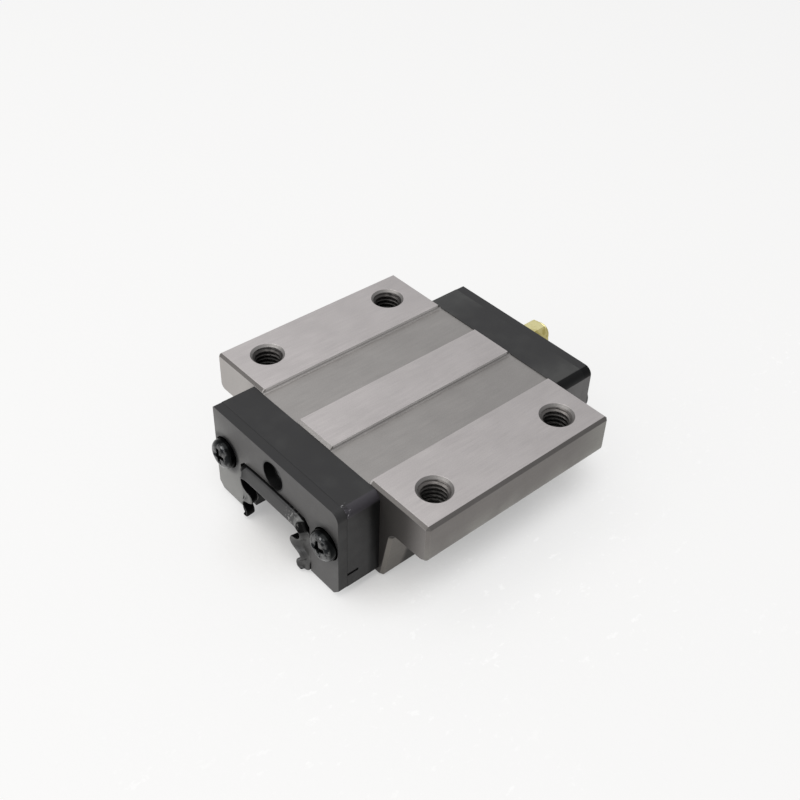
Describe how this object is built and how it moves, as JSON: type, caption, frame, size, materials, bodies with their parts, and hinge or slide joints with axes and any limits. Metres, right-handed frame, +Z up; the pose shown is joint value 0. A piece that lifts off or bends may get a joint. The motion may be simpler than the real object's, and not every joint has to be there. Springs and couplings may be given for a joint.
{
  "type": "linear bearing block",
  "caption": "Wide-flange linear guide carriage: ground steel block, end caps that turn the balls round, rubber end seals and a grease nipple; slides on a profiled rail.",
  "frame": {"origin": "centre of the four mounting holes, on the top mounting face", "axes": "+X along the direction of travel, towards the grease nipple; +Y across; +Z up, out of the mounting face, away from the rail"},
  "size_m": [0.0611, 0.052, 0.0182],
  "materials": {
    "ground_steel": "ground lands and flanges, unground grooves between them",
    "black_resin": "moulded, fine grain",
    "seal_plate": "black coating on sheet steel",
    "seal_rubber": "smooth black nitrile",
    "guide_resin": "natural moulded resin",
    "black_screw": "black oxide",
    "brass": "turned",
    "bearing_steel": "polished balls",
    "spring_steel": "drawn wire"
  },
  "bodies": {
    "block": {"casing": "ground_steel", "grease_nipple": "brass", "nipple_spring": "spring_steel", "end_plate_front": "black_resin", "seal_plate_front": "seal_plate", "seal_lip_front": "seal_rubber", "return_guide_front_left": "guide_resin", "end_screw_front_left": "black_screw", "return_guide_front_right": "guide_resin", "end_screw_front_right": "black_screw", "end_plate_rear": "black_resin", "seal_plate_rear": "seal_plate", "seal_lip_rear": "seal_rubber", "return_guide_rear_left": "guide_resin", "end_screw_rear_left": "black_screw", "return_guide_rear_right": "guide_resin", "end_screw_rear_right": "black_screw", "retaining_wire_left": "spring_steel", "retaining_wire_right": "spring_steel"},
    "check_ball": {"nipple_ball": "bearing_steel"},
    "load_row_left": {"load_balls_left": "bearing_steel"},
    "return_row_left": {"return_balls_left": "bearing_steel"},
    "rear_turn_left": {"rear_turn_balls_left": "bearing_steel"},
    "front_turn_left": {"front_turn_balls_left": "bearing_steel"},
    "load_row_right": {"load_balls_right": "bearing_steel"},
    "return_row_right": {"return_balls_right": "bearing_steel"},
    "rear_turn_right": {"rear_turn_balls_right": "bearing_steel"},
    "front_turn_right": {"front_turn_balls_right": "bearing_steel"}
  },
  "joints": [
    {"name": "load_row_left_travel", "type": "slide", "parent": "block", "child": "load_row_left", "axis": [1, 0, 0], "range_m": [-0.0017, 0.0017]},
    {"name": "return_row_left_travel", "type": "slide", "parent": "block", "child": "return_row_left", "axis": [1, 0, 0], "range_m": [-0.0017, 0.0017]},
    {"name": "front_turn_left_roll", "type": "hinge", "parent": "block", "child": "front_turn_left", "pos_m": [-0.0192, 0.01015, -0.013], "axis": [0, 0, 1], "range_deg": [-31.95, 31.95]},
    {"name": "rear_turn_left_roll", "type": "hinge", "parent": "block", "child": "rear_turn_left", "pos_m": [0.0192, 0.01015, -0.013], "axis": [0, 0, 1], "range_deg": [-31.95, 31.95]},
    {"name": "load_row_right_travel", "type": "slide", "parent": "block", "child": "load_row_right", "axis": [1, 0, 0], "range_m": [-0.0017, 0.0017]},
    {"name": "return_row_right_travel", "type": "slide", "parent": "block", "child": "return_row_right", "axis": [1, 0, 0], "range_m": [-0.0017, 0.0017]},
    {"name": "front_turn_right_roll", "type": "hinge", "parent": "block", "child": "front_turn_right", "pos_m": [-0.0192, -0.01015, -0.013], "axis": [0, 0, 1], "range_deg": [-31.95, 31.95]},
    {"name": "rear_turn_right_roll", "type": "hinge", "parent": "block", "child": "rear_turn_right", "pos_m": [0.0192, -0.01015, -0.013], "axis": [0, 0, 1], "range_deg": [-31.95, 31.95]},
    {"name": "check_ball_push", "type": "slide", "parent": "block", "child": "check_ball", "axis": [-1, 0, 0], "range_m": [0, 0.0005], "stiffness_N_per_m": 150, "springref_m": -0.001, "deforming": ["nipple_spring"]}
  ],
  "couplings": [
    {"joint": "return_row_left_travel", "follows": "load_row_left_travel", "ratio": -1},
    {"joint": "front_turn_left_roll", "follows": "load_row_left_travel", "rad_per_m": 327.87},
    {"joint": "rear_turn_left_roll", "follows": "load_row_left_travel", "rad_per_m": 327.87},
    {"joint": "return_row_right_travel", "follows": "load_row_right_travel", "ratio": -1},
    {"joint": "front_turn_right_roll", "follows": "load_row_right_travel", "rad_per_m": -327.87},
    {"joint": "rear_turn_right_roll", "follows": "load_row_right_travel", "rad_per_m": -327.87}
  ]
}
